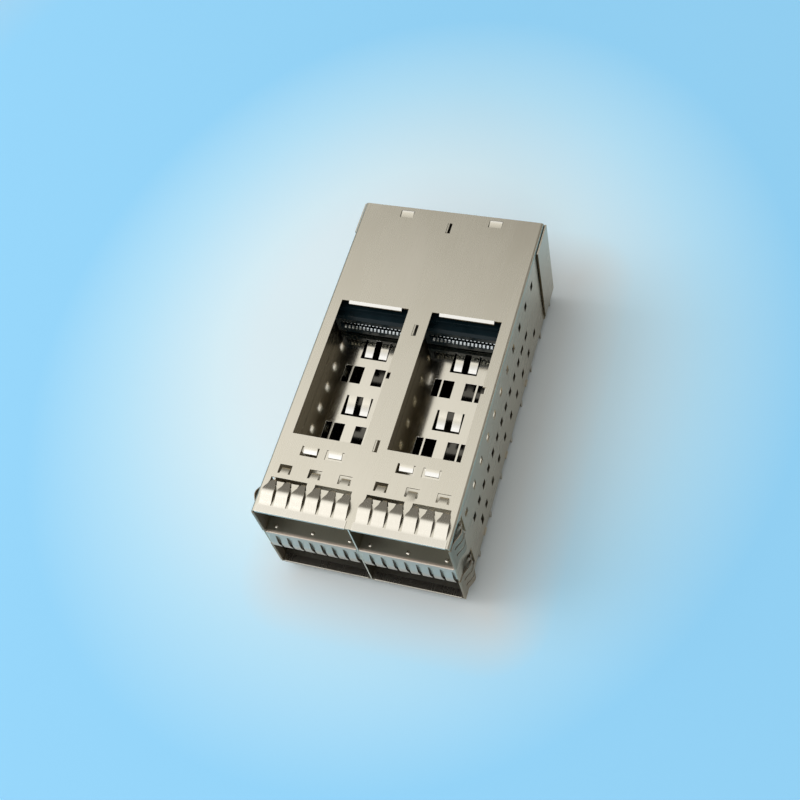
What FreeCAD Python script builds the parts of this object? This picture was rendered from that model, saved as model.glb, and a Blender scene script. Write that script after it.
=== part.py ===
import FreeCAD, Part
import math
import os

# Stacked two by two module cage: two columns of ports, an upper and a lower row.
# x runs across the columns, y from the port openings to the rear, z up from the circuit board.
# All sizes are millimetres. A depth is a distance behind the front edge of the cage.

V = FreeCAD.Vector

# Cage sheet and module bays
sheet = 0.3
bend_radius = 0.25
port_width = 18.75
port_height = 8.9
separator_height = 4.9
cage_depth = 73.8
fit_gap = 0.1

# Heat sink windows in the top
window_side = 2.275
window_start = 17.1
window_length = 31.4
window_lip_run = 0.52
window_lip_drop = 0.42
window_corner_gap = 1.5
window_notch_length = 1.5
window_notch_depth = 0.7

# Tabs lanced out of the top near the front
tab_slit = 0.4
stop_tab_width = 2.7
stop_tab_depth = 13.5
stop_tab_length = 1.3
stop_tab_gap = 0.75
stop_tab_offset = 2.5
stop_tab_drop = 0.5
guide_tab_width = 1.7
guide_tab_depth = 8.4
guide_tab_length = 1.5
guide_tab_offset = 6.0
guide_tab_drop = 0.5

# Holes in the side walls and the divider
vent_width = 1.45
vent_height = 1.95
vent_pitch = 5.05
vent_start = 15.4
vent_rear_gap = 12.3
lower_vent_start = 18.2
vent_upper_rise = 4.7
vent_lower_rise = 4.9
middle_vent_width = 1.5
middle_vent_height = 1.9
middle_vent_pitch = 3.48
middle_vent_start = 12.2
middle_vent_rear_gap = 25.8
long_vent_width = 1.85
long_vent_height = 1.6
long_vent_rear_gap = 23.75
wall_slot_width = 1.3
wall_slot_height = 2.8
wall_slot_depth = 15.0
wall_slot_rise = 4.6
wall_hole_size = 1.6
wall_hole_depth = 9.6
wall_hole_rise = 4.8

# Press-fit pins that hold the cage on the board
pin_root = 0.6
pin_belly = 1.0
pin_tip = 0.3
pin_length = 2.2
pin_pitch = 8.7
pin_start = 10.2

# Spring strips along the four front edges
spring_sheet = 0.12
spring_leg = 1.6
finger_root = 1.8
finger_slit = 0.58
finger_crest_depth = 4.5
finger_crest_height = 0.85
finger_crest_length = 0.8
finger_tip_depth = 6.9
finger_tip_drop = 0.35
finger_tip_width = 0.8
strip_side_gap = 0.495
side_strip_gap = 0.55
fingers_in_comb = 3
comb_count = 2
comb_band = 0.75
comb_gap = 0.2

# Spring clip on the front of each separator
clip_leg = 0.5
clip_hold = 0.9
clip_bulge_reach = 0.55
clip_bulge_rise = 1.55
clip_tip_drop = 0.6
clip_side_gap = 0.175
clip_finger_count = 8
clip_slit_root = 1.1
clip_slit_tip = 0.4

# Openings and tabs in each separator
separator_tab_width = 1.7
separator_tab_length = 3.7
separator_tab_drop = 0.9
separator_tab_spacing = 3.05
separator_tab_gap = 0.9
separator_hole_length = 4.0
separator_inner_hole = 2.25
separator_outer_hole = 1.4
separator_rib = 0.4
separator_hole_spacing = 2.3
separator_row_start = 21.5
separator_row_pitch = 6.75
lock_tab_length = 2.0
lock_tab_start = 9.5
lock_tab_pitch = 14.8

# Floor
floor_step = 0.2
floor_step_depth = 9.2
floor_rim = 1.2
floor_lug_length = 1.6
floor_lug_reach = 0.25

# Divider tabs that stand through the top
divider_tab_length = 2.4
divider_tab_front = 17.4
divider_tab_middle = 43.8
divider_tab_rear_gap = 4.4
divider_tab_rise = 0.12
divider_slot_side = 0.5

# Rear cover
wing_length = 7.6
wing_gap = 0.12
wing_inset = 0.8
flange_length = 4.2
flange_inset = 1.4
latch_width = 2.6
latch_length = 1.7
latch_depth = 2.9
latch_rise = 0.3
latch_window_gap = 0.1
cover_pin_count = 4

# Stacked receptacle in each column
nose_depth = 46.3
nose_reach = 1.7
nose_half_height = 2.8
nose_chamfer = 0.5
housing_side_gap = 0.45
housing_top_gap = 1.8
housing_length = 9.0
housing_web = 5.0
housing_wall = 0.5
slot_rise = 3.2
slot_height = 1.3
slot_lead_in = 0.6
slot_cavity_height = 2.8
slot_side_wall = 0.95
mouth_length = 1.0
peg_radius = 0.75
peg_length = 1.8
peg_depth = 3.0
peg_inset = 3.125

# Wafers and contacts of the receptacle
contact_count = 19
contact_margin = 0.375
contact_width = 0.4
contact_thickness = 0.25
contact_gap = 1.1
contact_set = 0.05
contact_inset = 0.3
wafer_gap = 0.1
wafer_foot = 0.3
wafer_top_gap = 0.1
wafer_back_gap = 3.0
tail_width = 0.5
tail_thickness = 0.3
tail_length = 2.0
tail_rows = 4
tail_margin = 2.6

# Places worked out from the sizes above
inner_half = port_width + sheet / 2
outer_half = inner_half + sheet
column_offset = (port_width + sheet) / 2
cage_height = 2 * (port_height + sheet) + separator_height
front = -cage_depth / 2
shell_depth = cage_depth - sheet
separator_bottom = sheet + port_height
separator_top = separator_bottom + separator_height
top_inside = cage_height - sheet
port_middle_lower = sheet + port_height / 2
port_middle_upper = separator_top + port_height / 2
body_depth = nose_depth + nose_reach
pocket_depth = body_depth + housing_web
housing_half = port_width / 2 - housing_side_gap
housing_top = top_inside - housing_top_gap
opening_half = housing_half - floor_rim
slot_half = housing_half - slot_side_wall
pocket_half = slot_half - contact_margin
contact_pitch = 2 * pocket_half / contact_count
wafer_thickness = contact_pitch - wafer_gap
peg_offset = housing_half - peg_inset
finger_pitch = (port_width - 2 * strip_side_gap) / (fingers_in_comb * comb_count)
side_finger_pitch = (port_height - 2 * side_strip_gap) / fingers_in_comb
clip_finger_pitch = (port_width - 2 * clip_side_gap) / clip_finger_count
divider_tab_depths = (divider_tab_front, divider_tab_middle, cage_depth - divider_tab_rear_gap)
slot_heights = {"lower": sheet + slot_rise, "upper": separator_top + slot_rise}
columns = {"left": -column_offset, "right": column_offset}
far = cage_depth + cage_height
shortest_edge = 1e-6


def box(x0, x1, depth0, depth1, z0, z1):
    return Part.makeBox(x1 - x0, depth1 - depth0, z1 - z0, V(x0, front + depth0, z0))


def at_x(x):
    return lambda depth, z: V(x, front + depth, z)


def at_z(z):
    return lambda x, depth: V(x, front + depth, z)


def at_depth(depth):
    return lambda x, z: V(x, front + depth, z)


def prism(points, place, direction):
    corners = [place(a, b) for a, b in points]
    return Part.Face(Part.makePolygon(corners + corners[:1])).extrude(direction)


def mirrored(points):
    return points + [(-a, b) for a, b in reversed(points)]


def fused(shapes):
    shape = shapes[0].fuse(shapes[1:]) if len(shapes) > 1 else shapes[0]
    return shape.removeSplitter()


# Folded sheet sections: a run of points is one face of the sheet, and the other lies to its left,
# or to its right where the thickness is negative. Folds of radius zero are mitred.

def unit(a, b):
    length = math.dist(a, b)
    return ((b[0] - a[0]) / length, (b[1] - a[1]) / length)


def turn_at(before, after):
    cross = before[0] * after[1] - before[1] * after[0]
    return math.atan2(cross, before[0] * after[0] + before[1] * after[1])


def shifted_run(points, thickness):
    headings = [unit(a, b) for a, b in zip(points, points[1:])]
    shifted = []
    for index, (u, v) in enumerate(points):
        before = headings[max(index - 1, 0)]
        after = headings[min(index, len(headings) - 1)]
        reach = thickness / (1 + before[0] * after[0] + before[1] * after[1])
        shifted.append((u - (before[1] + after[1]) * reach, v + (before[0] + after[0]) * reach))
    return shifted


def straight(start, end, place):
    if math.dist(start, end) < shortest_edge:
        return []
    return [Part.LineSegment(place(*start), place(*end)).toShape()]


def rounded_run(points, radii, place):
    edges = []
    start = points[0]
    for corner, ahead, behind, radius in zip(points[1:], points[2:], points, radii):
        before = unit(behind, corner)
        after = unit(corner, ahead)
        turn = turn_at(before, after)
        setback = radius * math.tan(abs(turn) / 2)
        enter = (corner[0] - before[0] * setback, corner[1] - before[1] * setback)
        leave = (corner[0] + after[0] * setback, corner[1] + after[1] * setback)
        edges += straight(start, enter, place)
        if setback:
            inward = unit((0, 0), (after[0] - before[0], after[1] - before[1]))
            depth = radius / math.cos(turn / 2) - radius
            middle = (corner[0] + inward[0] * depth, corner[1] + inward[1] * depth)
            edges.append(Part.Arc(place(*enter), place(*middle), place(*leave)).toShape())
        start = leave
    return edges + straight(start, points[-1], place)


def folded(points, radius, thickness, place, direction):
    headings = [unit(a, b) for a, b in zip(points, points[1:])]
    bends = [turn_at(a, b) * thickness for a, b in zip(headings, headings[1:])]
    outer_radius = radius + abs(thickness) if radius else 0
    near_radii = [outer_radius if bend > 0 else radius for bend in bends]
    far_radii = [radius if bend > 0 else outer_radius for bend in bends]
    other = shifted_run(points, thickness)
    edges = rounded_run(points, near_radii, place)
    edges += rounded_run(other, far_radii, place)
    edges += straight(points[0], other[0], place)
    edges += straight(points[-1], other[-1], place)
    wire = Part.Wire(Part.__sortEdges__(edges))
    return Part.Face(wire).extrude(direction)


def bent_tab(x, hinge, free, width, top, drop):
    section = [(hinge, top), (hinge, top - sheet), (free, top - sheet - drop), (free, top - drop)]
    return prism(section, at_x(x - width / 2), V(width, 0, 0))


def lanced_tab(x, hinge, free, width, top, drop, end_gap):
    reach = free + math.copysign(end_gap, free - hinge)
    half = width / 2 + tab_slit
    window = box(x - half, x + half, min(hinge, reach), max(hinge, reach), top - sheet, top)
    return window, bent_tab(x, hinge, free, width, top, drop)


# Press-fit pins

def pin_outline(root_height):
    right = [(pin_root / 2, root_height), (pin_belly / 2, -pin_length / 2), (pin_tip / 2, -pin_length)]
    return mirrored(right)


def pin_along_depth(x, depth, root_height):
    outline = [(depth + a, z) for a, z in pin_outline(root_height)]
    return prism(outline, at_x(x), V(sheet, 0, 0))


def pin_depths():
    return run_depths(pin_start, shell_depth - pin_belly, pin_pitch)


# Spring strips are made lying on a sheet whose outer face is z = 0 and whose front edge is y = 0.

def flat_place(x):
    return lambda y, z: V(x, y, z)


def finger_half(y, pitch):
    taper = (pitch - finger_slit - finger_tip_width) / 2 / (finger_tip_depth - finger_crest_depth)
    return (pitch - finger_slit) / 2 - max(y - finger_crest_depth, 0) * taper


def finger_centres(count, pitch):
    return [(index - (count - 1) / 2) * pitch for index in range(count)]


def spring_strip(count, pitch):
    width = count * pitch
    path = [
        (spring_leg, -sheet),
        (0, -sheet),
        (0, 0),
        (finger_root, 0),
        (finger_crest_depth - finger_crest_length, finger_crest_height),
        (finger_crest_depth, finger_crest_height),
        (finger_tip_depth, -finger_tip_drop),
    ]
    strip = folded(path, 0, spring_sheet, flat_place(-width / 2), V(width, 0, 0))
    end = finger_tip_depth + 2 * spring_sheet
    gaps = []
    for index in range(count + 1):
        middle = (index - count / 2) * pitch
        at_root = pitch / 2 - finger_half(finger_root, pitch)
        at_end = pitch / 2 - finger_half(end, pitch)
        side = [(at_root, finger_root), (at_root, finger_crest_depth), (at_end, end)]
        outline = [(middle + a, b) for a, b in mirrored(side)]
        low = -finger_tip_drop - 2 * spring_sheet
        gaps.append(prism(outline, lambda x, y: V(x, y, low), V(0, 0, far)))
    return strip.cut(gaps)


def comb_window(pitch):
    slope = (finger_tip_depth - finger_crest_depth) / (finger_crest_height + finger_tip_drop)
    start = finger_crest_depth + slope * finger_crest_height - 2 * comb_gap
    back = finger_tip_depth + spring_sheet + 2 * comb_gap
    band = back - comb_band
    outline = []
    for centre in finger_centres(fingers_in_comb, pitch):
        at_start = finger_half(start, pitch) + comb_gap
        at_band = finger_half(band, pitch) + comb_gap
        notch = [(-at_band, band), (-at_start, start), (at_start, start), (at_band, band)]
        outline += [(centre + a, b) for a, b in notch]
    outline += [(outline[-1][0], back), (outline[0][0], back)]
    return prism(outline, lambda x, y: V(x, y, -2 * sheet), V(0, 0, 4 * sheet))


def turned(shape, angle, x, z):
    placed = shape.copy()
    placed.rotate(V(0, 0, 0), V(0, 1, 0), angle)
    placed.translate(V(x, front, z))
    return placed


def edge_places(edge):
    if edge == "top":
        return [(0, x, cage_height) for x in columns.values()]
    if edge == "bottom":
        return [(180, x, floor_step) for x in columns.values()]
    turn = 90 if edge == "right" else -90
    x = outer_half if edge == "right" else -outer_half
    return [(turn, x, port_middle_lower), (turn, x, port_middle_upper)]


def port_combs():
    comb_pitch = fingers_in_comb * finger_pitch
    window = comb_window(finger_pitch)
    combs = []
    for offset in finger_centres(comb_count, comb_pitch):
        comb = window.copy()
        comb.translate(V(offset, 0, 0))
        combs.append(comb)
    return combs


# Cage shell: top and both side walls folded from one sheet

def run_depths(start, end, pitch):
    count = int((end - start) / pitch) + 1
    return [start + index * pitch for index in range(count)]


def wall_holes(x0, x1, z, depths, width, height):
    holes = []
    for depth in depths:
        holes.append(box(x0, x1, depth - width / 2, depth + width / 2, z - height / 2, z + height / 2))
    return holes


def upper_vents(x0, x1):
    depths = run_depths(vent_start, cage_depth - vent_rear_gap, vent_pitch)
    return wall_holes(x0, x1, separator_top + vent_upper_rise, depths, vent_width, vent_height)


def lower_vents(x0, x1):
    depths = run_depths(lower_vent_start, cage_depth - vent_rear_gap, vent_pitch)
    return wall_holes(x0, x1, sheet + vent_lower_rise, depths, vent_width, vent_height)


def middle_vents(x0, x1):
    depths = run_depths(middle_vent_start, cage_depth - middle_vent_rear_gap, middle_vent_pitch)
    middle = (separator_bottom + separator_top) / 2
    vents = wall_holes(x0, x1, middle, depths, middle_vent_width, middle_vent_height)
    start = cage_depth - long_vent_rear_gap
    long_depths = [start, start + middle_vent_pitch]
    return vents + wall_holes(x0, x1, middle, long_depths, long_vent_width, long_vent_height)


def front_holes(x0, x1):
    slot = wall_holes(x0, x1, sheet + wall_slot_rise, [wall_slot_depth], wall_slot_width, wall_slot_height)
    high = separator_top + wall_hole_rise
    hole = wall_holes(x0, x1, high, [wall_hole_depth], wall_hole_size, wall_hole_size)
    return slot + hole


def lock_tab_depths():
    return run_depths(lock_tab_start, body_depth - lock_tab_length, lock_tab_pitch)


def between_pins():
    depths = pin_depths()
    return [(a + b) / 2 for a, b in zip(depths, depths[1:])]


def lug_depths():
    return between_pins()[::2]


def side_wall_cuts(x0, x1):
    cuts = upper_vents(x0, x1) + middle_vents(x0, x1) + lower_vents(x0, x1) + front_holes(x0, x1)
    tab_half = lock_tab_length / 2 + fit_gap
    tab_low = separator_top - sheet - fit_gap
    for depth in lock_tab_depths():
        cuts.append(box(x0, x1, depth - tab_half, depth + tab_half, tab_low, separator_top + fit_gap))
    lug_half = floor_lug_length / 2 + fit_gap
    for depth in lug_depths():
        cuts.append(box(x0, x1, depth - lug_half, depth + lug_half, -sheet, sheet + fit_gap))
    return cuts


def heat_sink_window(x):
    end = window_start + window_length
    half = port_width / 2 - window_side
    middle = window_start + window_length / 2
    low = top_inside - sheet
    high = cage_height + sheet
    notch_half = window_notch_length / 2
    notch_end = x + half + window_notch_depth
    opening = box(x - half, x + half, window_start, end, low, high)
    notch = box(x, notch_end, middle - notch_half, middle + notch_half, low, high)
    lip_width = 2 * (half - window_corner_gap)
    lip = bent_tab(x, end, end - window_lip_run, lip_width, cage_height, window_lip_drop)
    return [opening, notch], lip


def front_tabs(x):
    pieces = []
    hinge = stop_tab_depth + stop_tab_length
    bend = (stop_tab_width, cage_height, stop_tab_drop, stop_tab_gap)
    for centre in (x - stop_tab_offset, x + stop_tab_offset):
        pieces.append(lanced_tab(centre, hinge, stop_tab_depth, *bend))
    free = guide_tab_depth + guide_tab_length
    bend = (guide_tab_width, cage_height, guide_tab_drop, tab_slit)
    for centre in (x - guide_tab_offset, x, x + guide_tab_offset):
        pieces.append(lanced_tab(centre, guide_tab_depth, free, *bend))
    return pieces


def latch_window(x):
    back = cage_depth - latch_depth + latch_length
    half = latch_width / 2 + latch_window_gap
    return box(x - half, x + half, cage_depth - latch_depth, back + latch_window_gap, top_inside, cage_height)


def divider_slots():
    left = -sheet / 2 - fit_gap
    right = sheet / 2 + divider_slot_side
    reach = divider_tab_length / 2 + fit_gap
    slots = []
    for depth in divider_tab_depths:
        slots.append(box(left, right, depth - reach, depth + reach, top_inside, cage_height))
    return slots


def make_cage_shell():
    path = [(outer_half, 0), (outer_half, cage_height), (-outer_half, cage_height), (-outer_half, 0)]
    shell = folded(path, bend_radius, sheet, at_depth(0), V(0, shell_depth, 0))
    added = []
    cuts = divider_slots()
    for x in columns.values():
        openings, lip = heat_sink_window(x)
        cuts += openings
        added.append(lip)
        for window, tab in front_tabs(x):
            cuts.append(window)
            added.append(tab)
        cuts.append(latch_window(x))
    for angle, x, z in edge_places("top"):
        cuts += [turned(comb, angle, x, z) for comb in port_combs()]
    for edge in ("left", "right"):
        cuts += [turned(comb_window(side_finger_pitch), *place) for place in edge_places(edge)]
    for x in (inner_half, -outer_half):
        cuts += side_wall_cuts(x, x + sheet)
        added += [pin_along_depth(x, depth, pin_root) for depth in pin_depths()]
    return fused([shell.cut(cuts)] + added)


# Floor, with a front lip stepped up to take the lower springs

def connector_opening(x):
    back = cage_depth - sheet - wafer_back_gap + floor_rim
    return box(x - opening_half, x + opening_half, body_depth + floor_rim, back, -sheet, 2 * sheet)


def divider_pin_depths():
    return between_pins()[1::2]


def make_cage_floor():
    path = [(0, floor_step), (floor_step_depth, floor_step)]
    path += [(floor_step_depth + floor_step, 0), (shell_depth, 0)]
    floor = folded(path, bend_radius, sheet, at_x(-inner_half), V(2 * inner_half, 0, 0))
    cuts = [connector_opening(x) for x in columns.values()]
    gap_half = sheet / 2 + fit_gap
    pin_half = pin_belly / 2 + fit_gap
    for depth in divider_pin_depths():
        cuts.append(box(-gap_half, gap_half, depth - pin_half, depth + pin_half, -sheet, 2 * sheet))
    for angle, x, z in edge_places("bottom"):
        cuts += [turned(comb, angle, x, z) for comb in port_combs()]
    lug_end = outer_half + floor_lug_reach
    lug_half = floor_lug_length / 2
    lugs = [box(-lug_end, lug_end, depth - lug_half, depth + lug_half, 0, sheet) for depth in lug_depths()]
    inside = box(-inner_half, inner_half, 0, cage_depth, 0, sheet)
    return fused([floor.cut(cuts)] + [lug.cut(inside) for lug in lugs])


# Divider between the two columns

def make_center_divider():
    x0 = -sheet / 2
    step_back = floor_step_depth + floor_step + bend_radius + sheet
    step_top = sheet + floor_step
    outline = [(0, step_top), (step_back, step_top), (step_back, sheet), (shell_depth, sheet)]
    outline += [(shell_depth, top_inside), (0, top_inside)]
    plate = prism(outline, at_x(x0), V(sheet, 0, 0))
    half = divider_tab_length / 2
    high = cage_height + divider_tab_rise
    tabs = [box(x0, -x0, depth - half, depth + half, top_inside, high) for depth in divider_tab_depths]
    pins = [pin_along_depth(x0, depth, sheet) for depth in divider_pin_depths()]
    return fused([plate.cut(upper_vents(x0, -x0))] + tabs + pins)


# Separators: channels open to the rear, between the upper and the lower ports

def separator_row_depths():
    return run_depths(separator_row_start + separator_hole_length / 2, body_depth, separator_row_pitch)


def separator_holes(x, depth):
    half = separator_hole_length / 2
    low = separator_top - sheet
    inner_start = separator_hole_spacing / 2
    inner_end = inner_start + separator_inner_hole
    outer_start = inner_end + separator_rib
    outer_end = outer_start + separator_outer_hole
    holes = []
    for a, b in ((inner_start, inner_end), (outer_start, outer_end)):
        holes.append(box(x + a, x + b, depth - half, depth + half, low, separator_top))
        holes.append(box(x - b, x - a, depth - half, depth + half, low, separator_top))
    return holes


def make_separator(x):
    side = math.copysign(1, x)
    path = [(body_depth, separator_bottom), (0, separator_bottom)]
    path += [(0, separator_top), (body_depth, separator_top)]
    start = x - port_width / 2
    channel = folded(path, bend_radius, -sheet, at_x(start), V(port_width, 0, 0))
    cuts = []
    added = []
    for index, depth in enumerate(separator_row_depths()):
        if index % 2 == 0:
            cuts += separator_holes(x, depth)
            continue
        hinge = depth + separator_tab_length / 2
        free = depth - separator_tab_length / 2
        reach = (separator_tab_spacing + separator_tab_width) / 2 + tab_slit
        low = separator_top - sheet
        cuts.append(box(x - reach, x + reach, free - separator_tab_gap, hinge, low, separator_top))
        for tab_x in (x - separator_tab_spacing / 2, x + separator_tab_spacing / 2):
            added.append(bent_tab(tab_x, hinge, free, separator_tab_width, separator_top, separator_tab_drop))
    wall = sorted((side * inner_half, side * outer_half))
    half = lock_tab_length / 2
    for depth in lock_tab_depths():
        added.append(box(*wall, depth - half, depth + half, separator_top - sheet, separator_top))
    return fused([channel.cut(cuts)] + added)


def make_separator_clip(x):
    width = clip_finger_count * clip_finger_pitch
    path = [
        (clip_leg, separator_top),
        (0, separator_top),
        (0, separator_top - clip_hold),
        (-clip_bulge_reach, separator_bottom + clip_bulge_rise),
        (-spring_sheet, separator_bottom - clip_tip_drop),
    ]
    clip = folded(path, 0, -spring_sheet, at_x(x - width / 2), V(width, 0, 0))
    low = separator_bottom - 2 * clip_tip_drop
    side = [(clip_slit_root / 2, separator_top - clip_hold), (clip_slit_tip / 2, low)]
    slits = []
    for index in range(clip_finger_count + 1):
        middle = x + (index - clip_finger_count / 2) * clip_finger_pitch
        outline = [(middle + a, z) for a, z in mirrored(side)]
        slits.append(prism(outline, at_depth(0), V(0, -far, 0)))
    return clip.cut(slits)


# Rear cover, with wings outside the side walls and a latching flange under the top

def make_rear_cover():
    wing_x = outer_half + wing_gap + sheet
    wing_front = cage_depth - wing_length
    plan = [(wing_x, wing_front), (wing_x, cage_depth), (-wing_x, cage_depth), (-wing_x, wing_front)]
    wings = folded(plan, 0, sheet, at_z(wing_inset), V(0, 0, cage_height - 2 * wing_inset))
    back_half = inner_half - flange_inset
    path = [(cage_depth, 0), (cage_depth, top_inside), (cage_depth - flange_length, top_inside)]
    back = folded(path, bend_radius, sheet, at_x(-back_half), V(2 * back_half, 0, 0))
    gap_half = sheet / 2 + divider_slot_side
    cuts = [box(-gap_half, gap_half, 0, shell_depth, 0, top_inside)]
    added = [wings]
    for x in columns.values():
        hinge = cage_depth - latch_depth
        free = hinge + latch_length
        window, latch = lanced_tab(x, hinge, free, latch_width, top_inside, -latch_rise, tab_slit)
        cuts.append(window)
        added.append(latch)
    for x in finger_centres(cover_pin_count, 2 * back_half / cover_pin_count):
        outline = [(x + a, z) for a, z in pin_outline(pin_root)]
        added.append(prism(outline, at_depth(shell_depth), V(0, sheet, 0)))
    return fused([back.cut(cuts)] + added)


# Stacked receptacle: housing, wafers and contacts

def card_slot(x, z):
    x0 = x - slot_half
    x1 = x + slot_half
    mouth_end = nose_depth + mouth_length
    narrow = slot_height / 2
    wide = narrow + slot_lead_in
    mouth = box(x0, x1, nose_depth, mouth_end, z - narrow, z + narrow)
    funnel = [(nose_depth, z - wide), (nose_depth + slot_lead_in, z - narrow)]
    funnel += [(nose_depth + slot_lead_in, z + narrow), (nose_depth, z + wide)]
    lead_in = prism(funnel, at_x(x0), V(x1 - x0, 0, 0))
    tall = slot_cavity_height / 2
    cavity = box(x0, x1, mouth_end, pocket_depth, z - tall, z + tall)
    return [mouth, lead_in, cavity]


def nose(x, z):
    low = z - nose_half_height
    high = z + nose_half_height
    tip_end = nose_depth + nose_chamfer
    path = [(body_depth, low), (tip_end, low), (nose_depth, low + nose_chamfer)]
    path += [(nose_depth, high - nose_chamfer), (tip_end, high), (body_depth, high)]
    return prism(path, at_x(x - housing_half), V(2 * housing_half, 0, 0))


def make_connector_housing(x):
    end = body_depth + housing_length
    body = box(x - housing_half, x + housing_half, body_depth, end, sheet, housing_top)
    pocket = box(x - pocket_half, x + pocket_half, pocket_depth, end, sheet, housing_top - housing_wall)
    cuts = [pocket]
    added = []
    for z in slot_heights.values():
        added.append(nose(x, z))
        cuts += card_slot(x, z)
    for peg_x in (x - peg_offset, x + peg_offset):
        base = V(peg_x, front + body_depth + peg_depth, sheet)
        added.append(Part.makeCylinder(peg_radius, peg_length + sheet, base, V(0, 0, -1)))
    return fused([body] + added).cut(cuts)


def wafer_places(x):
    return [x + offset for offset in finger_centres(contact_count, contact_pitch)]


def make_wafers(x):
    low = sheet + wafer_foot
    high = housing_top - housing_wall - wafer_top_gap
    end = cage_depth - sheet - wafer_back_gap
    half = wafer_thickness / 2
    wafers = [box(place - half, place + half, pocket_depth, end, low, high) for place in wafer_places(x)]
    return Part.makeCompound(wafers)


def make_contacts(x, z):
    root = slot_cavity_height / 2 - contact_set
    tip = contact_gap / 2
    start = nose_depth + contact_inset
    beams = []
    for place in wafer_places(x):
        for side in (-1, 1):
            outline = [(pocket_depth, z + side * root), (pocket_depth, z + side * (root - contact_thickness))]
            outline.append((start, z + side * tip))
            beams.append(prism(outline, at_x(place - contact_width / 2), V(contact_width, 0, 0)))
    return Part.makeCompound(beams)


def make_tails(x):
    low = sheet + wafer_foot
    first = pocket_depth + tail_margin
    last = cage_depth - sheet - wafer_back_gap - tail_margin
    pitch = (last - first) / (tail_rows - 1)
    tails = []
    for place in wafer_places(x):
        for row in range(tail_rows):
            depth = first + row * pitch
            outline = [(depth - tail_width / 2, low), (depth + tail_width / 2, low), (depth, -tail_length)]
            tails.append(prism(outline, at_x(place - tail_thickness / 2), V(tail_thickness, 0, 0)))
    return Part.makeCompound(tails)


def make_springs():
    port_strip = spring_strip(fingers_in_comb * comb_count, finger_pitch)
    side_strip = spring_strip(fingers_in_comb, side_finger_pitch)
    springs = {}
    for edge in ("top", "bottom"):
        for column, place in zip(columns, edge_places(edge)):
            springs[f"emi_spring_{edge}_{column}"] = turned(port_strip, *place)
    for edge in columns:
        for row, place in zip(slot_heights, edge_places(edge)):
            springs[f"emi_spring_{edge}_side_{row}"] = turned(side_strip, *place)
    return springs


def main():
    parts = {
        "cage_shell": make_cage_shell(),
        "cage_floor": make_cage_floor(),
        "center_divider": make_center_divider(),
        "rear_cover": make_rear_cover(),
    }
    parts.update(make_springs())
    for column, x in columns.items():
        parts[f"separator_{column}"] = make_separator(x)
        parts[f"emi_spring_separator_{column}"] = make_separator_clip(x)
        parts[f"connector_housing_{column}"] = make_connector_housing(x)
        parts[f"contact_wafers_{column}"] = make_wafers(x)
        parts[f"press_fit_tails_{column}"] = make_tails(x)
        for row, z in slot_heights.items():
            parts[f"{row}_contacts_{column}"] = make_contacts(x, z)
    os.makedirs("parts", exist_ok=True)
    for name, shape in parts.items():
        shape.exportStep(os.path.join("parts", name + ".step"))
        print(name, len(shape.Solids), "solids", round(shape.Volume, 3), "mm3", shape.isValid())


main()
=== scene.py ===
from math import radians
import bpy
import bmesh
from mathutils import Matrix, Quaternion, Vector


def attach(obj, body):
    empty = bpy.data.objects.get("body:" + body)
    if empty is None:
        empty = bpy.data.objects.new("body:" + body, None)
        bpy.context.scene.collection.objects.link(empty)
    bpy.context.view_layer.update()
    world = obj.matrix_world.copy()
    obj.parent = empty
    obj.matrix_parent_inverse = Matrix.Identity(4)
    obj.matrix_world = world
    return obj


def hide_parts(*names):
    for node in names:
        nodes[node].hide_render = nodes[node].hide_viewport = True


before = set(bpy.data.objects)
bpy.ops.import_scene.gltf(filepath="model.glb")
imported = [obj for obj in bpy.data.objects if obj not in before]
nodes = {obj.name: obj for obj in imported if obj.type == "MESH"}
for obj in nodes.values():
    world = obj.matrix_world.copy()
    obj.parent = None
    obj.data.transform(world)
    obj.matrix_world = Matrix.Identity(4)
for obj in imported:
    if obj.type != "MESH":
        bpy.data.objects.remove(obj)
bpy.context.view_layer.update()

mm = 0.001
print("frame loaded,", len(nodes), "nodes")


# camera, at the photograph's own angle
cameraSet = {
    "place": (69.27, -116.23, 221.01),
    "aim": (-2.195, -2.7, 11.65),
    "roll": -18.52,
    "lens": 55.618,
    "sensor": 36,
    "nearClip": 0.005,
}


def placeCamera(c):
    data = bpy.data.cameras.new("studioCamera")
    data.sensor_fit = "HORIZONTAL"
    data.sensor_width = c["sensor"]
    data.lens = c["lens"]
    data.clip_start = c["nearClip"]
    camera = bpy.data.objects.new("studioCamera", data)
    bpy.context.scene.collection.objects.link(camera)
    place = Vector(c["place"]) * mm
    aim = Vector(c["aim"]) * mm
    roll = Quaternion((0, 0, 1), radians(c["roll"]))
    turn = (aim - place).to_track_quat("-Z", "Y") @ roll
    camera.matrix_world = Matrix.Translation(place) @ turn.to_matrix().to_4x4()
    bpy.context.scene.camera = camera


placeCamera(cameraSet)
bpy.context.scene.view_settings.view_transform = "Standard"
print("camera placed")


# node helpers
def addNode(tree, kind, **settings):
    node = tree.nodes.new(kind)
    for key, value in settings.items():
        setattr(node, key, value)
    return node


def link(tree, out, into):
    tree.links.new(out, into)


def newFinish(name):
    finish = bpy.data.materials.new(name)
    finish.use_nodes = True
    return finish, finish.node_tree, finish.node_tree.nodes["Principled BSDF"]


def objectNoise(tree, scale, detail=2.0, rough=0.5):
    coord = addNode(tree, "ShaderNodeTexCoord")
    stretch = addNode(tree, "ShaderNodeMapping")
    stretch.inputs["Scale"].default_value = scale
    noise = addNode(tree, "ShaderNodeTexNoise")
    noise.inputs["Scale"].default_value = 1.0
    noise.inputs["Detail"].default_value = detail
    noise.inputs["Roughness"].default_value = rough
    link(tree, coord.outputs["Object"], stretch.inputs["Vector"])
    link(tree, stretch.outputs["Vector"], noise.inputs["Vector"])
    return noise.outputs["Fac"]


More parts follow.
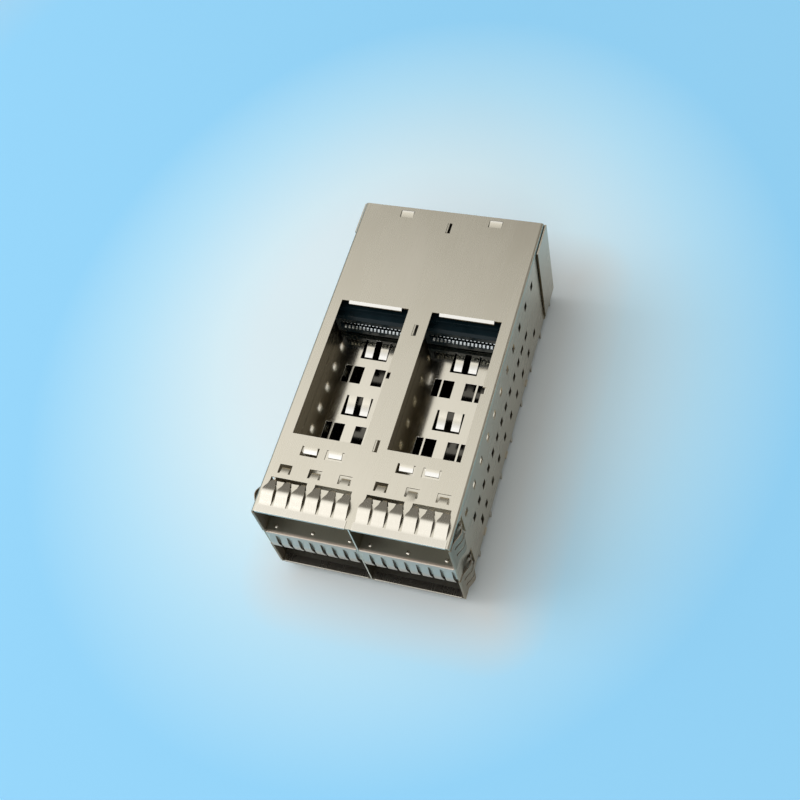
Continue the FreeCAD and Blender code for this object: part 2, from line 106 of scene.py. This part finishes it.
def mixValues(tree, a, b, share):
    mix = addNode(tree, "ShaderNodeMix", data_type="FLOAT")
    mix.inputs["Factor"].default_value = share
    link(tree, a, mix.inputs["A"])
    link(tree, b, mix.inputs["B"])
    return mix.outputs["Result"]


def ramp(tree, fac, low, high, start=0.3, end=0.7):
    node = addNode(tree, "ShaderNodeValToRGB")
    node.color_ramp.elements[0].position = start
    node.color_ramp.elements[1].position = end
    node.color_ramp.elements[0].color = (*low, 1)
    node.color_ramp.elements[1].color = (*high, 1)
    link(tree, fac, node.inputs["Fac"])
    return node.outputs["Color"]


def spread(tree, fac, low, high):
    node = addNode(tree, "ShaderNodeMapRange")
    node.inputs["From Min"].default_value = 0.3
    node.inputs["From Max"].default_value = 0.7
    node.inputs["To Min"].default_value = low
    node.inputs["To Max"].default_value = high
    link(tree, fac, node.inputs["Value"])
    return node.outputs["Result"]


def between(tree, value, start, end):
    node = addNode(tree, "ShaderNodeMapRange")
    node.inputs["From Min"].default_value = start
    node.inputs["From Max"].default_value = end
    link(tree, value, node.inputs["Value"])
    return node.outputs["Result"]


def mixFloat(tree, share, a, b):
    mix = addNode(tree, "ShaderNodeMix", data_type="FLOAT")
    mix.inputs["B"].default_value = b
    link(tree, share, mix.inputs["Factor"])
    link(tree, a, mix.inputs["A"])
    return mix.outputs["Result"]


def mixColours(tree, share, a, b):
    mix = addNode(tree, "ShaderNodeMix", data_type="RGBA")
    link(tree, share, mix.inputs["Factor"])
    for colour, socket in ((a, mix.inputs["A"]), (b, mix.inputs["B"])):
        if isinstance(colour, tuple):
            socket.default_value = (*colour, 1)
        else:
            link(tree, colour, socket)
    return mix.outputs["Result"]


def darken(tree, colour, tint):
    mix = addNode(tree, "ShaderNodeMix", data_type="RGBA", blend_type="MULTIPLY")
    mix.inputs["Factor"].default_value = 1
    mix.inputs["B"].default_value = (*tint, 1)
    link(tree, colour, mix.inputs["A"])
    return mix.outputs["Result"]


def multiply(tree, a, b):
    product = addNode(tree, "ShaderNodeMath", operation="MULTIPLY")
    link(tree, a, product.inputs[0])
    link(tree, b, product.inputs[1])
    return product.outputs["Value"]


# the spot's place or normal in the piece's own frame, split into its three parts
def ownParts(tree, output):
    spot = addNode(tree, "ShaderNodeTexCoord")
    parts = addNode(tree, "ShaderNodeSeparateXYZ")
    link(tree, spot.outputs[output], parts.inputs["Vector"])
    return parts.outputs


def relief(tree, shader, height, depth, strength):
    bump = addNode(tree, "ShaderNodeBump")
    bump.inputs["Distance"].default_value = depth
    bump.inputs["Strength"].default_value = strength
    link(tree, height, bump.inputs["Height"])
    link(tree, bump.outputs["Normal"], shader.inputs["Normal"])


# what sets one face of a sheet apart: places in metres, slopes as parts of a normal
maskSet = {
    "middle": (0, 0, 0.0116),
    "outer": (-0.0001, 0.0001),
    "edge": (0.8, 0.4),
    "shelfTop": (0.0131, 0.0138),
    "web": (-0.0362, -0.0365),
    "webShare": 0.9,
    "frontShade": (-0.4, -0.8),
    "forward": (-0.12, -0.2),
    "upward": (0.55, 0.7),
    "scuffedAndShaded": (-0.022, -0.029),
    "mouthShadeBehindWeb": (-0.0365, -0.0362),
}


# where a sheet keeps its own colour: 1 on the outside of the cage, 0 on the inside, which takes a
# painted shade
def outerFace(tree):
    spot = addNode(tree, "ShaderNodeTexCoord")
    shift = addNode(tree, "ShaderNodeVectorMath", operation="SUBTRACT")
    shift.inputs[1].default_value = maskSet["middle"]
    facing = addNode(tree, "ShaderNodeVectorMath", operation="DOT_PRODUCT")
    link(tree, spot.outputs["Object"], shift.inputs[0])
    link(tree, shift.outputs["Vector"], facing.inputs[0])
    link(tree, spot.outputs["Normal"], facing.inputs[1])
    return between(tree, facing.outputs["Value"], *maskSet["outer"])


# 0 on upright faces along the depth, 1 on all others; the upright faces take a painted shade
def edgeFace(tree):
    size = addNode(tree, "ShaderNodeMath", operation="ABSOLUTE")
    link(tree, ownParts(tree, "Normal")["X"], size.inputs[0])
    return between(tree, size.outputs["Value"], *maskSet["edge"])


# the shelf on top of a separator keeps its colour, the web behind its front spring a little less; its
# other faces take a painted shade
def shelfFace(tree):
    place = ownParts(tree, "Object")
    shelf = between(tree, place["Z"], *maskSet["shelfTop"])
    web = addNode(tree, "ShaderNodeMath", operation="MULTIPLY")
    web.inputs[1].default_value = maskSet["webShare"]
    link(tree, between(tree, place["Y"], *maskSet["web"]), web.inputs[0])
    both = addNode(tree, "ShaderNodeMath", operation="MAXIMUM")
    link(tree, shelf, both.inputs[0])
    link(tree, web.outputs["Value"], both.inputs[1])
    return both.outputs["Value"]


# faces that face the front, sheared edges among them: 1 there, 0 elsewhere; they take a painted shade
def frontFacingShade(tree):
    return between(tree, ownParts(tree, "Normal")["Y"], *maskSet["frontShade"])


# tabs and lips bent down towards the ports, sloping forward and up, take a lighter colour, a painted
# highlight: 1 there, 0 elsewhere
def highlightedSlope(tree):
    normal = ownParts(tree, "Normal")
    forward = between(tree, normal["Y"], *maskSet["forward"])
    return multiply(tree, forward, between(tree, normal["Z"], *maskSet["upward"]))


# plugs slide over the first few millimetres of a shelf, which are rougher for it; these millimetres,
# save the front face, are also darker, a painted shade
def shelfFront(tree):
    place = ownParts(tree, "Object")
    front = between(tree, place["Y"], *maskSet["scuffedAndShaded"])
    top = multiply(tree, front, between(tree, place["Y"], *maskSet["mouthShadeBehindWeb"]))
    return front, top


# how fine each texture is, per metre along x, y and z, and how deep its relief, in metres
grainSet = {
    "clouds": (90, 45, 90),
    "grain": (5200, 130, 5200),
    "grainRough": 0.6,
    "metalDepth": 0.00001,
    "spark": (9000, 9000, 9000),
    "sparkDepth": 0.00002,
    "flow": (260, 260, 120),
    "patches": (1800, 1800, 1800),
    "detail": 3,
}


# rolled nickel silver sheet: warm satin metal with grain along the depth, with painted shade and
# painted highlights on chosen faces
def rolledSheet(name, s):
    finish, tree, shader = newFinish(name)
    clouds = objectNoise(tree, grainSet["clouds"], grainSet["detail"])
    grain = objectNoise(tree, grainSet["grain"], grainSet["detail"], grainSet["grainRough"])
    tone = mixValues(tree, clouds, grain, s["grainShare"])
    colour = ramp(tree, tone, s["dark"], s["light"])
    if "bright" in s:
        # faces outside the bright mask take a darker colour: painted shade
        paintedShade = darken(tree, colour, s["paintedShade"])
        # upright side faces are darkened again: painted shade
        if "flankShade" in s:
            colour = mixColours(tree, edgeFace(tree), darken(tree, colour, s["flankShade"]), colour)
        colour = mixColours(tree, s["bright"](tree), paintedShade, colour)
    if "frontShade" in s:
        # faces towards the front are darkened: painted shade
        colour = mixColours(tree, frontFacingShade(tree), colour, darken(tree, colour, s["frontShade"]))
    if "slopeHighlight" in s:
        # forward and upward slopes take a lighter colour: painted highlight
        colour = mixColours(tree, highlightedSlope(tree), colour, s["slopeHighlight"])
    rough = spread(tree, tone, s["smooth"], s["rough"])
    if "scuffedAndShaded" in s:
        front, top = shelfFront(tree)
        # the front of the shelf is darkened: painted shade
        colour = mixColours(tree, top, colour, darken(tree, colour, s["mouthShade"]))
        rough = mixFloat(tree, front, rough, s["scuffedAndShaded"])
    link(tree, colour, shader.inputs["Base Color"])
    link(tree, rough, shader.inputs["Roughness"])
    relief(tree, shader, grain, grainSet["metalDepth"], s["relief"])
    shader.inputs["Metallic"].default_value = 1
    return finish


sheetLooks = {
    "cageSheet": {
        "dark": (0.60, 0.565, 0.475), "light": (0.67, 0.635, 0.545), "smooth": 0.23, "rough": 0.32,
        "grainShare": 0.4, "relief": 0.05, "paintedShade": (0.56, 0.53, 0.48), "bright": outerFace,
        "slopeHighlight": (0.70, 0.69, 0.66), "flankShade": (0.76, 0.71, 0.645), "frontShade": (0.60, 0.54, 0.45),
    },
    "floorSheet": {
        "dark": (0.60, 0.565, 0.475), "light": (0.67, 0.635, 0.545), "smooth": 0.31, "rough": 0.35,
        "grainShare": 0.25, "relief": 0.01, "frontShade": (0.60, 0.54, 0.45),
    },
    "shelfSheet": {
        "dark": (0.66, 0.625, 0.535), "light": (0.73, 0.695, 0.605), "smooth": 0.10, "rough": 0.17,
        "grainShare": 0.4, "relief": 0.05, "paintedShade": (0.14, 0.14, 0.14), "bright": shelfFace,
        "slopeHighlight": (0.70, 0.69, 0.66), "scuffedAndShaded": 0.42, "mouthShade": (0.56, 0.57, 0.54),
    },
    "dividerSheet": {
        "dark": (0.60, 0.565, 0.475), "light": (0.67, 0.635, 0.545), "smooth": 0.28, "rough": 0.38,
        "grainShare": 0.4, "relief": 0.10, "paintedShade": (0.42, 0.39, 0.34), "bright": edgeFace,
    },
    "springSheet": {
        "dark": (0.63, 0.595, 0.52), "light": (0.69, 0.66, 0.585), "smooth": 0.2, "rough": 0.3,
        "grainShare": 0.5, "relief": 0.05,
    },
    # side and foot springs: the spring sheet again, darkened as painted shade
    "sideSpringShaded": {
        "dark": (0.30, 0.24, 0.175), "light": (0.36, 0.29, 0.215), "smooth": 0.46, "rough": 0.56,
        "grainShare": 0.5, "relief": 0.05,
    },
    "footSpringShaded": {
        "dark": (0.46, 0.42, 0.36), "light": (0.53, 0.49, 0.42), "smooth": 0.26, "rough": 0.29,
        "grainShare": 0.25, "relief": 0.01,
    },
    # separator clips: a rougher spring sheet, whose darker, warmer tone is a painted shade
    "clipSheet": {
        "dark": (0.55, 0.465, 0.385), "light": (0.63, 0.545, 0.465), "smooth": 0.38, "rough": 0.48,
        "grainShare": 0.5, "relief": 0.05,
    },
}

# the rear cover is the same sheet, with a darker painted shade on its sides
sheetLooks["coverSheet"] = {**sheetLooks["cageSheet"], "flankShade": (0.60, 0.57, 0.52)}


# moulded black plastic: fine spark-eroded texture, blue-black sheen
def mouldedPlastic(name, s):
    finish, tree, shader = newFinish(name)
    fine = objectNoise(tree, grainSet["spark"])
    flow = objectNoise(tree, grainSet["flow"], grainSet["detail"])
    link(tree, ramp(tree, flow, s["dark"], s["light"]), shader.inputs["Base Color"])
    link(tree, spread(tree, flow, s["smooth"], s["rough"]), shader.inputs["Roughness"])
    relief(tree, shader, fine, grainSet["sparkDepth"], s["relief"])
    shader.inputs["Specular IOR Level"].default_value = s["gloss"]
    return finish


plasticLooks = {
    "connectorPlastic": {
        "dark": (0.003, 0.009, 0.012), "light": (0.006, 0.015, 0.020), "smooth": 0.24, "rough": 0.36,
        "relief": 0.15, "gloss": 0.2,
    },
    "waferPlastic": {
        "dark": (0.012, 0.012, 0.014), "light": (0.025, 0.025, 0.028), "smooth": 0.4, "rough": 0.55,
        "relief": 0.2, "gloss": 0.4,
    },
}


# plated leads: plating that thins a little in patches
def platedLead(name, s):
    finish, tree, shader = newFinish(name)
    patches = objectNoise(tree, grainSet["patches"], grainSet["detail"])
    link(tree, ramp(tree, patches, s["dark"], s["light"]), shader.inputs["Base Color"])
    link(tree, spread(tree, patches, s["smooth"], s["rough"]), shader.inputs["Roughness"])
    relief(tree, shader, patches, grainSet["metalDepth"], s["relief"])
    shader.inputs["Metallic"].default_value = 1
    return finish


leadLooks = {
    "contactPlate": {
        "dark": (0.42, 0.46, 0.48), "light": (0.58, 0.62, 0.64), "smooth": 0.18, "rough": 0.3,
        "relief": 0.1,
    },
    "tailTin": {
        "dark": (0.60, 0.59, 0.56), "light": (0.72, 0.71, 0.68), "smooth": 0.3, "rough": 0.45,
        "relief": 0.15,
    },
}

finishes = {}
for name, look in sheetLooks.items():
    finishes[name] = rolledSheet(name, look)
for name, look in plasticLooks.items():
    finishes[name] = mouldedPlastic(name, look)
for name, look in leadLooks.items():
    finishes[name] = platedLead(name, look)
print("finishes made:", ", ".join(finishes))


# piece helpers
def keepPiece(bm, name, finish, stands):
    mesh = bpy.data.meshes.new(name)
    bm.to_mesh(mesh)
    bm.free()
    piece = bpy.data.objects.new(name, mesh)
    bpy.context.scene.collection.objects.link(piece)
    mesh.materials.append(finishes[finish])
    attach(piece, "root")
    if stands:
        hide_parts(stands)
    return piece


def smoothFaces(piece, angle):
    for face in piece.data.polygons:
        face.use_smooth = True
    piece.data.set_sharp_from_angle(angle=radians(angle))
    weigh = piece.modifiers.new("evenShading", "WEIGHTED_NORMAL")
    weigh.keep_sharp = True


# folded sheets and housings: copies of the solids with their sharp edges broken
sheetSet = {
    "edgeBreak": 0.035,
    "edgeSegments": 2,
    "sharpFrom": 25,
    "flatUnder": 1,
    "weld": 1e-6,
    "smoothUnder": 24,
    "looks": {
        "cage_shell": ("cageSheet", "cage_sheet"),
        "cage_floor": ("floorSheet", "cage_sheet"),
        "center_divider": ("dividerSheet", "cage_sheet"),
        "rear_cover": ("coverSheet", "cage_sheet"),
        "separator_left": ("shelfSheet", "cage_sheet"),
        "separator_right": ("shelfSheet", "cage_sheet"),
        "connector_housing_left": ("connectorPlastic", "connector_plastic"),
        "connector_housing_right": ("connectorPlastic", "connector_plastic"),
    },
}


def breakEdges(s, nodeName, finish, slotName):
    bm = bmesh.new()
    bm.from_mesh(nodes[nodeName].data)
    bmesh.ops.remove_doubles(bm, verts=bm.verts, dist=s["weld"])
    bmesh.ops.dissolve_limit(bm, angle_limit=radians(s["flatUnder"]), verts=bm.verts, edges=bm.edges)
    folds = [e for e in bm.edges if e.is_manifold]
    sharp = [e for e in folds if e.calc_face_angle() > radians(s["sharpFrom"])]
    bmesh.ops.bevel(bm, geom=sharp, offset=s["edgeBreak"] * mm, offset_type="OFFSET",
                    segments=s["edgeSegments"], profile=0.5, affect="EDGES", material=-1,
                    clamp_overlap=True)
    piece = keepPiece(bm, nodeName + "_worn", finish, nodeName)
    smoothFaces(piece, s["smoothUnder"])


for nodeName, look in sheetSet["looks"].items():
    breakEdges(sheetSet, nodeName, *look)
print("folded sheets and housings done")


# shielding springs: bent strips with slit fingers along every port edge
stripSet = {
    "thick": 0.12,
    "sheet": 0.3,
    "leg": 1.6,
    "root": 1.8,
    "crestStart": 3.7,
    "crestEnd": 4.5,
    "crestHeight": 0.85,
    "tip": 6.9,
    "tipDrop": 0.35,
    "tipWidth": 0.8,
    "slit": 0.58,
    "edgeEase": 0.06,
    "edgeSegments": 3,
    "rootEase": 0.5,
    "rootSegments": 4,
    "crestEase": 0.38,
    "crestSegments": 5,
    "smoothUnder": 40,
    "front": -36.9,
    "portFingers": 6,
    "portPitch": 2.96,
    "sideFingers": 3,
    "sidePitch": 2.6,
    "columns": {"left": -9.525, "right": 9.525},
    "rows": {"lower": 4.75, "upper": 18.55},
    "top": 23.3,
    "bottom": 0.2,
    "side": 19.2,
}


weld = 1e-5  # points closer than this are one, in millimetres


# stops across a comb: both sides of every slit, and the middle of every finger
def combStops(count, pitch, half):
    stops = [half]
    for index in range(count):
        right = pitch * (index + 1)
        stops += [right - pitch / 2, right - half]
        if index < count - 1:
            stops.append(right + half)
    return stops + [count * pitch]


def bendProfile(bm, points, left):
    verts = [bm.verts.new((left, y, z)) for y, z in points]
    for a, b in zip(verts, verts[1:]):
        bm.edges.new((a, b))
    return verts


def easeFolds(bm, folds, reach, segments):
    bmesh.ops.bevel(bm, geom=folds, offset=reach, offset_type="OFFSET", segments=segments, profile=0.5,
                    affect="VERTICES", material=-1)


def sweepAcross(bm, stops):
    edges = list(bm.edges)
    done = 0
    for stop in stops:
        grown = bmesh.ops.extrude_edge_only(bm, edges=edges)["geom"]
        fresh = [g for g in grown if isinstance(g, bmesh.types.BMVert)]
        bmesh.ops.translate(bm, verts=fresh, vec=(stop - done, 0, 0))
        edges = [g for g in grown if isinstance(g, bmesh.types.BMEdge)]
        edges = [e for e in edges if all(v in fresh for v in e.verts)]
        done = stop


def cutSlits(bm, left, pitch, half, isFinger):
    gaps = []
    for face in bm.faces:
        centre = face.calc_center_median()
        across = (centre.x - left) % pitch
        if isFinger(centre) and min(across, pitch - across) < half:
            gaps.append(face)
    bmesh.ops.delete(bm, geom=gaps, context="FACES")


# each finger narrows or widens about its own middle line
def taperFingers(bm, left, pitch, count, widthAt):
    for v in bm.verts:
        index = min(int((v.co.x - left) / pitch), count - 1)
        middle = left + (index + 0.5) * pitch
        v.co.x = middle + (v.co.x - middle) * widthAt(v.co)


def thicken(bm, thick):
    bmesh.ops.remove_doubles(bm, verts=bm.verts, dist=weld)
    bmesh.ops.recalc_face_normals(bm, faces=bm.faces)
    topFace = max(bm.faces, key=lambda f: f.calc_center_median().z)
    if topFace.normal.z < 0:
        bmesh.ops.reverse_faces(bm, faces=bm.faces)
    bmesh.ops.solidify(bm, geom=bm.faces, thickness=-thick)
    bmesh.ops.recalc_face_normals(bm, faces=bm.faces)


def stripMesh(s, count, pitch):
    bm = bmesh.new()
    left = -count * pitch / 2
    half = s["slit"] / 2
    verts = bendProfile(bm, [(s["leg"], -s["sheet"]), (0, -s["sheet"]), (0, 0), (s["root"], 0),
                             (s["crestStart"], s["crestHeight"]), (s["crestEnd"], s["crestHeight"]),
                             (s["tip"], -s["tipDrop"])], left)
    easeFolds(bm, verts[3:4], s["rootEase"], s["rootSegments"])
    easeFolds(bm, verts[1:3], s["edgeEase"], s["edgeSegments"])
    crest = [v for v in bm.verts if v.co.z > s["crestHeight"] - weld]
    easeFolds(bm, crest, s["crestEase"], s["crestSegments"])
    sweepAcross(bm, combStops(count, pitch, half))
    cutSlits(bm, left, pitch, half, lambda centre: centre.y > s["root"] - s["rootEase"] / 2)
    narrow = 1 - s["tipWidth"] / (pitch - s["slit"])
    length = s["tip"] - s["crestEnd"]
    taperFingers(bm, left, pitch, count,
                 lambda co: 1 - max(co.y - s["crestEnd"], 0) / length * narrow)
    thicken(bm, s["thick"])
    return bm


def layStrip(s, name, comb, angle, place, finish):
    bm = stripMesh(s, *comb)
    x, z = place
    move = Matrix.Translation((x, s["front"], z)) @ Matrix.Rotation(radians(angle), 4, "Y")
    bmesh.ops.transform(bm, matrix=Matrix.Scale(mm, 4) @ move, verts=bm.verts)
    piece = keepPiece(bm, name + "_bent", finish, name)
    smoothFaces(piece, s["smoothUnder"])


def layStrips(s):
    portComb = (s["portFingers"], s["portPitch"])
    sideComb = (s["sideFingers"], s["sidePitch"])
    for column, x in s["columns"].items():
        layStrip(s, "emi_spring_top_" + column, portComb, 0, (x, s["top"]), "springSheet")
        layStrip(s, "emi_spring_bottom_" + column, portComb, 180, (x, s["bottom"]), "footSpringShaded")
    for row, z in s["rows"].items():
        layStrip(s, "emi_spring_left_side_" + row, sideComb, -90, (-s["side"], z), "sideSpringShaded")
        layStrip(s, "emi_spring_right_side_" + row, sideComb, 90, (s["side"], z), "sideSpringShaded")


layStrips(stripSet)
print("spring strips bent")


# separators' front springs and the dimples that hold them
clipSet = {
    "thick": 0.12,
    "path": ((0.5, 14.1), (0, 14.1), (0, 13.2), (-0.55, 10.75), (-0.12, 8.6)),
    "hold": 13.2,
    "pitch": 2.3,
    "count": 8,
    "slitRoot": 1.1,
    "slitTip": 0.4,
    "bulgeEase": 0.7,
    "bulgeSegments": 6,
    "edgeEase": 0.08,
    "edgeSegments": 3,
    "smoothUnder": 40,
    "dimpleSize": 0.42,
    "dimpleRise": 0.2,
    "dimpleDepth": 1.5,
    "dimpleTop": 14.1,
    "dimpleSink": 0.02,
    "dimpleSides": 24,
    "dimpleRings": 12,
    "dimples": (-7.5, 0, 7.5),
}


def bendClip(s, column, x):
    bm = bmesh.new()
    left = x - s["count"] * s["pitch"] / 2
    half = s["slitRoot"] / 2
    verts = bendProfile(bm, [(stripSet["front"] + y, z) for y, z in s["path"]], left)
    easeFolds(bm, verts[3:4], s["bulgeEase"], s["bulgeSegments"])
    easeFolds(bm, verts[1:2], s["edgeEase"], s["edgeSegments"])
    sweepAcross(bm, combStops(s["count"], s["pitch"], half))
    cutSlits(bm, left, s["pitch"], half, lambda centre: centre.z < s["hold"])
    widen = (s["pitch"] - s["slitTip"]) / (s["pitch"] - s["slitRoot"]) - 1
    length = s["hold"] - s["path"][-1][1]
    taperFingers(bm, left, s["pitch"], s["count"],
                 lambda co: 1 + max(s["hold"] - co.z, 0) / length * widen)
    thicken(bm, s["thick"])
    bmesh.ops.transform(bm, matrix=Matrix.Scale(mm, 4), verts=bm.verts)
    name = "emi_spring_separator_" + column
    piece = keepPiece(bm, name + "_bent", "clipSheet", name)
    smoothFaces(piece, s["smoothUnder"])


def pressDimples(s, column, x):
    bm = bmesh.new()
    for offset in s["dimples"]:
        place = (x + offset, stripSet["front"] + s["dimpleDepth"], s["dimpleTop"])
        squash = Matrix.Diagonal((1, 1, s["dimpleRise"] / s["dimpleSize"], 1))
        bmesh.ops.create_uvsphere(bm, u_segments=s["dimpleSides"], v_segments=s["dimpleRings"],
                                  radius=s["dimpleSize"], matrix=Matrix.Translation(place) @ squash)
    cut = Vector((0, 0, s["dimpleTop"] - s["dimpleSink"]))
    whole = bm.verts[:] + bm.edges[:] + bm.faces[:]
    bmesh.ops.bisect_plane(bm, geom=whole, plane_co=cut, plane_no=(0, 0, 1), clear_inner=True)
    bmesh.ops.recalc_face_normals(bm, faces=bm.faces)
    bmesh.ops.transform(bm, matrix=Matrix.Scale(mm, 4), verts=bm.verts)
    piece = keepPiece(bm, "separator_dimples_" + column, "springSheet", None)
    for face in piece.data.polygons:
        face.use_smooth = True


for column, x in stripSet["columns"].items():
    bendClip(clipSet, column, x)
    pressDimples(clipSet, column, x)
print("separator springs and dimples done")


# contact beams: sprung towards each other, with tips that flare out at the slot's mouth
beamSet = {
    "count": 19,
    "pitch": 0.8,
    "width": 0.4,
    "thick": 0.12,
    "tip": (9.42, 0.95),
    "knee": (9.85, 0.45),
    "root": (16.1, 1.22),
    "kneeEase": 0.2,
    "kneeSegments": 4,
    "smoothUnder": 40,
    "rows": {"lower": 3.5, "upper": 17.3},
}


def springContacts(s, row, column, z, x):
    bm = bmesh.new()
    bendProfile(bm, [s["tip"], s["knee"], s["root"]], -s["width"] / 2)
    knees = [v for v in bm.verts if len(v.link_edges) == 2]
    easeFolds(bm, knees, s["kneeEase"], s["kneeSegments"])
    sweepAcross(bm, [s["width"]])
    thicken(bm, s["thick"])
    beam = bm.verts[:] + bm.edges[:] + bm.faces[:]
    bmesh.ops.mirror(bm, geom=beam, matrix=Matrix.Identity(4), axis="Z", merge_dist=-1)
    bmesh.ops.recalc_face_normals(bm, faces=bm.faces)
    pair = bm.verts[:] + bm.edges[:] + bm.faces[:]
    first = x - (s["count"] - 1) / 2 * s["pitch"]
    bmesh.ops.translate(bm, verts=bm.verts, vec=(first, 0, z))
    for index in range(1, s["count"]):
        copy = bmesh.ops.duplicate(bm, geom=pair)["geom"]
        fresh = [g for g in copy if isinstance(g, bmesh.types.BMVert)]
        bmesh.ops.translate(bm, verts=fresh, vec=(index * s["pitch"], 0, 0))
    bmesh.ops.transform(bm, matrix=Matrix.Scale(mm, 4), verts=bm.verts)
    name = row + "_contacts_" + column
    piece = keepPiece(bm, name + "_sprung", "contactPlate", name)
    smoothFaces(piece, s["smoothUnder"])


for row, z in beamSet["rows"].items():
    for column, x in stripSet["columns"].items():
        springContacts(beamSet, row, column, z, x)
print("contacts sprung")


# tails and wafers keep their solids
leadSet = {"contact_wafers_": "waferPlastic", "press_fit_tails_": "tailTin"}
for start, finish in leadSet.items():
    for side in ("left", "right"):
        solid = nodes[start + side]
        solid.data.materials.clear()
        solid.data.materials.append(finishes[finish])
print("tails and wafers finished")


# floor, world and lamps
studio = {
    "floorHeight": -2.2,
    "floorSize": 2.0,
    "middle": (-0.01, 0.02, 0),
    "reach": (0.34, 0.4, 1),
    "tones": ((0.0, (0.74, 0.85, 0.91)), (0.1, (0.72, 0.86, 0.94)), (0.125, (0.67, 0.86, 0.96)),
              (0.19, (0.46, 0.77, 0.98)), (0.25, (0.30, 0.67, 0.98)), (0.45, (0.30, 0.67, 0.98)),
              (0.8, (0.64, 0.68, 0.70))),
    "floorRough": 0.9,
    "floorGloss": 0.1,
    "foot": (0.0192, 0.040, 0),
    "footShift": (0.004, 0.002, 0),
    "paintedShadowTone": (0.665, 0.72, 0.745),
    "paintedShadowReach": (0.0, 0.013),
    "skyTilt": (-0.45, -0.25, 0.86),
    "skyTones": ((0.0, (0.235, 0.225, 0.205)), (0.35, (0.255, 0.245, 0.225)),
                 (0.55, (0.30, 0.29, 0.26)), (0.62, (0.47, 0.46, 0.43)), (0.67, (0.86, 0.85, 0.82)),
                 (0.8, (1.2, 1.19, 1.16)), (1.0, (1.45, 1.44, 1.42))),
}


def toneRamp(tree, value, tones):
    node = addNode(tree, "ShaderNodeValToRGB")
    stops = node.color_ramp.elements
    while len(stops) < len(tones):
        stops.new(0.5)
    for stop, (place, colour) in zip(stops, tones):
        stop.position = place
        stop.color = (*colour, 1)
    link(tree, value, node.inputs["Fac"])
    return node.outputs["Color"]


# how far a spot on the floor lies from the foot of the cage, moved towards the shaded side
def footDistance(tree, coord, foot, footShift):
    shift = addNode(tree, "ShaderNodeVectorMath", operation="SUBTRACT")
    shift.inputs[1].default_value = footShift
    fold = addNode(tree, "ShaderNodeVectorMath", operation="ABSOLUTE")
    beyond = addNode(tree, "ShaderNodeVectorMath", operation="SUBTRACT")
    beyond.inputs[1].default_value = foot
    outside = addNode(tree, "ShaderNodeVectorMath", operation="MAXIMUM")
    flat = addNode(tree, "ShaderNodeVectorMath", operation="MULTIPLY")
    flat.inputs[1].default_value = (1, 1, 0)
    length = addNode(tree, "ShaderNodeVectorMath", operation="LENGTH")
    link(tree, coord.outputs["Object"], shift.inputs[0])
    link(tree, shift.outputs["Vector"], fold.inputs[0])
    link(tree, fold.outputs["Vector"], beyond.inputs[0])
    link(tree, beyond.outputs["Vector"], outside.inputs[0])
    link(tree, outside.outputs["Vector"], flat.inputs[0])
    link(tree, flat.outputs["Vector"], length.inputs[0])
    return length.outputs["Value"]


def layFloor(s):
    bm = bmesh.new()
    bmesh.ops.create_grid(bm, x_segments=2, y_segments=2, size=s["floorSize"] / 2,
                          matrix=Matrix.Translation((0, 0, s["floorHeight"] * mm)))
    mesh = bpy.data.meshes.new("studioFloor")
    bm.to_mesh(mesh)
    bm.free()
    floor = bpy.data.objects.new("studioFloor", mesh)
    bpy.context.scene.collection.objects.link(floor)
    finish, tree, shader = newFinish("paleFloor")
    coord = addNode(tree, "ShaderNodeTexCoord")
    shape = addNode(tree, "ShaderNodeMapping", vector_type="TEXTURE")
    shape.inputs["Location"].default_value = s["middle"]
    shape.inputs["Scale"].default_value = s["reach"]
    length = addNode(tree, "ShaderNodeVectorMath", operation="LENGTH")
    link(tree, coord.outputs["Object"], shape.inputs["Vector"])
    link(tree, shape.outputs["Vector"], length.inputs[0])
    # the floor is whiter round the cage and bluer further out: a painted glow round the cage
    wide = toneRamp(tree, length.outputs["Value"], s["tones"])
    # near the foot of the cage the floor takes a greyer tone: a painted shadow
    away = between(tree, footDistance(tree, coord, s["foot"], s["footShift"]), *s["paintedShadowReach"])
    link(tree, mixColours(tree, away, s["paintedShadowTone"], wide), shader.inputs["Base Color"])
    shader.inputs["Roughness"].default_value = s["floorRough"]
    shader.inputs["Specular IOR Level"].default_value = s["floorGloss"]
    mesh.materials.append(finish)


def lightWorld(s):
    world = bpy.data.worlds.new("softRoom")
    world.use_nodes = True
    bpy.context.scene.world = world
    tree = world.node_tree
    coord = addNode(tree, "ShaderNodeTexCoord")
    facing = addNode(tree, "ShaderNodeVectorMath", operation="DOT_PRODUCT")
    facing.inputs[1].default_value = Vector(s["skyTilt"]).normalized()
    link(tree, coord.outputs["Generated"], facing.inputs[0])
    sky = toneRamp(tree, facing.outputs["Value"], s["skyTones"])
    link(tree, sky, tree.nodes["Background"].inputs["Color"])


lamps = {
    "keyPanel": {"place": (-0.55, -0.1, 0.5), "size": (0.4, 0.4), "power": 1.5},
    "frontPanel": {"place": (0.15, -0.7, 0.22), "size": (0.5, 0.3), "power": 1.2},
    "rimPanel": {"place": (0.62, 0.36, 0.24), "size": (0.5, 0.16), "power": 0.2},
}


def hangLamp(name, c):
    data = bpy.data.lights.new(name, "AREA")
    data.shape = "RECTANGLE"
    data.size, data.size_y = c["size"]
    data.energy = c["power"]
    lamp = bpy.data.objects.new(name, data)
    bpy.context.scene.collection.objects.link(lamp)
    place = Vector(c["place"])
    turn = (-place).to_track_quat("-Z", "Y")
    lamp.matrix_world = Matrix.Translation(place) @ turn.to_matrix().to_4x4()


layFloor(studio)
lightWorld(studio)
for name, c in lamps.items():
    hangLamp(name, c)
print("studio lit")
